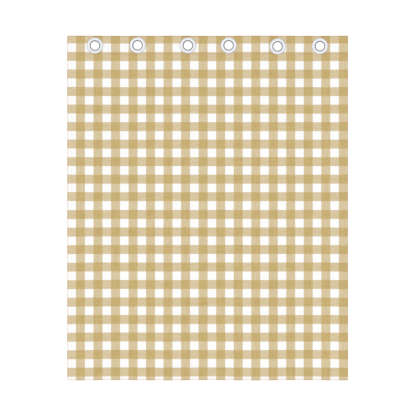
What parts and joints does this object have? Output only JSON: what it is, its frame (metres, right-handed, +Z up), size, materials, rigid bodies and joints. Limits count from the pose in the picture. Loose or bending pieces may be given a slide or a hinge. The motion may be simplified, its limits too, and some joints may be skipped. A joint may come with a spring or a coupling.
{
  "type": "eyelet curtain",
  "caption": "Gingham cloth curtain hanging nearly flat, with hemmed edges and plastic eyelets in a doubled heading for a rod.",
  "frame": {"origin": "middle of the curtain's top edge, on the middle plane that it hangs in", "axes": "+Z up, so the cloth hangs towards -Z; the front faces -Y; +X to the right as seen from the front"},
  "size_m": [1.1, 0.0202, 1.35],
  "materials": {
    "cloth": "plain-weave cotton gingham, beige and white checks, matt",
    "eyelet": "white moulded plastic, smooth and glossy"
  },
  "bodies": {
    "root": {"panel": "cloth", "heading": "cloth", "eyelet_front_1": "eyelet", "eyelet_front_2": "eyelet", "eyelet_front_3": "eyelet", "eyelet_front_4": "eyelet", "eyelet_front_5": "eyelet", "eyelet_front_6": "eyelet", "eyelet_back_1": "eyelet", "eyelet_back_2": "eyelet", "eyelet_back_3": "eyelet", "eyelet_back_4": "eyelet", "eyelet_back_5": "eyelet", "eyelet_back_6": "eyelet"}
  },
  "joints": []
}
